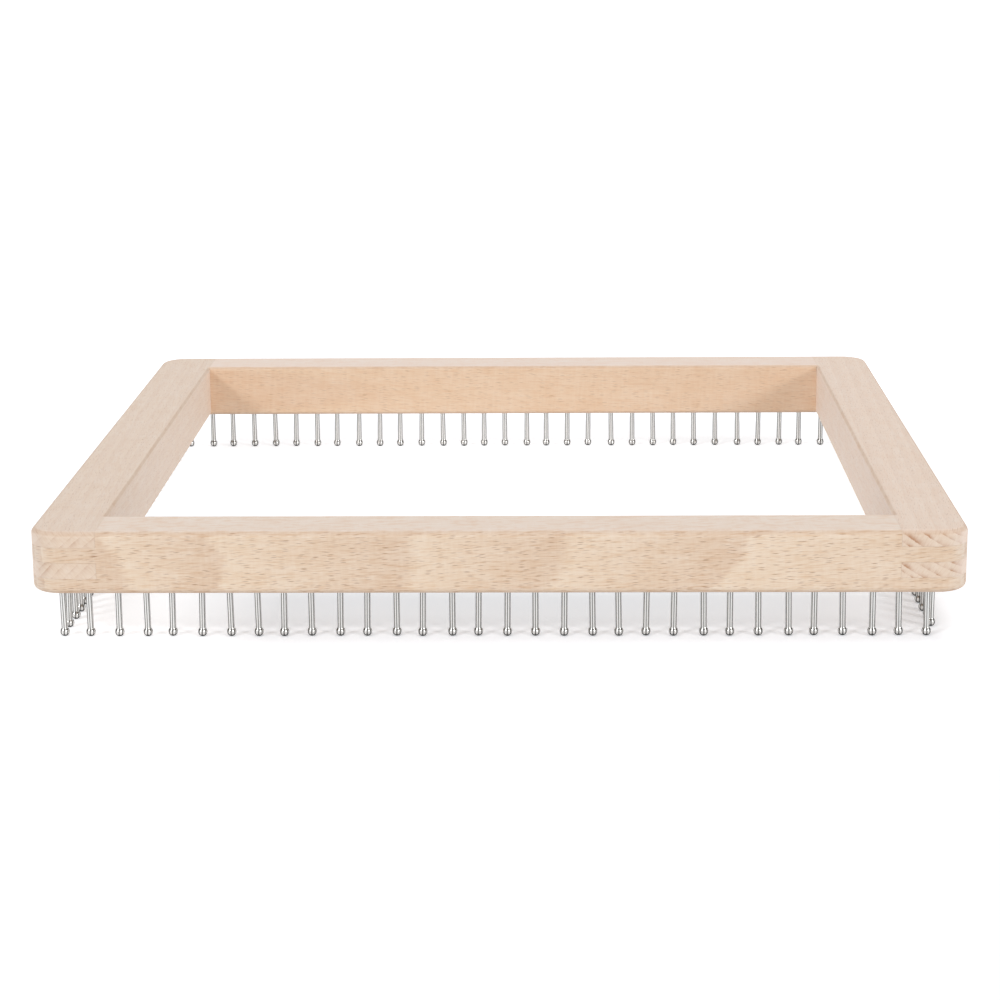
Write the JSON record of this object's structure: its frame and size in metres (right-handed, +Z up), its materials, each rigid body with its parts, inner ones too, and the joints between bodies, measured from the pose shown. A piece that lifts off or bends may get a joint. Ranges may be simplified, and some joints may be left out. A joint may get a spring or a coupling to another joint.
{
  "type": "square knitting loom",
  "caption": "Square beech frame with finger-jointed corners and rows of ball-tipped steel pins under its rails, used to stretch and work yarn across its open middle.",
  "frame": {"origin": "middle of the plane under the balls of the pins, on which the loom stands", "axes": "+Z up from the balls to the plain back face of the rails, +X to the right and +Y away from the front rail, whose ends show the second and fourth finger of the corner joints"},
  "size_m": [0.3, 0.3, 0.037],
  "materials": {
    "beech": "sanded and unfinished",
    "steel": "polished pins"
  },
  "bodies": {
    "root": {"front_rail": "beech", "right_rail": "beech", "rear_rail": "beech", "left_rail": "beech", "front_pins_1": "steel", "front_pins_2": "steel", "front_pins_3": "steel", "front_pins_4": "steel", "front_pins_5": "steel", "front_pins_6": "steel", "front_pins_7": "steel", "front_pins_8": "steel", "right_pins_1": "steel", "right_pins_2": "steel", "right_pins_3": "steel", "right_pins_4": "steel", "right_pins_5": "steel", "right_pins_6": "steel", "right_pins_7": "steel", "right_pins_8": "steel", "rear_pins_1": "steel", "rear_pins_2": "steel", "rear_pins_3": "steel", "rear_pins_4": "steel", "rear_pins_5": "steel", "rear_pins_6": "steel", "rear_pins_7": "steel", "rear_pins_8": "steel", "left_pins_1": "steel", "left_pins_2": "steel", "left_pins_3": "steel", "left_pins_4": "steel", "left_pins_5": "steel", "left_pins_6": "steel", "left_pins_7": "steel", "left_pins_8": "steel"}
  },
  "joints": []
}
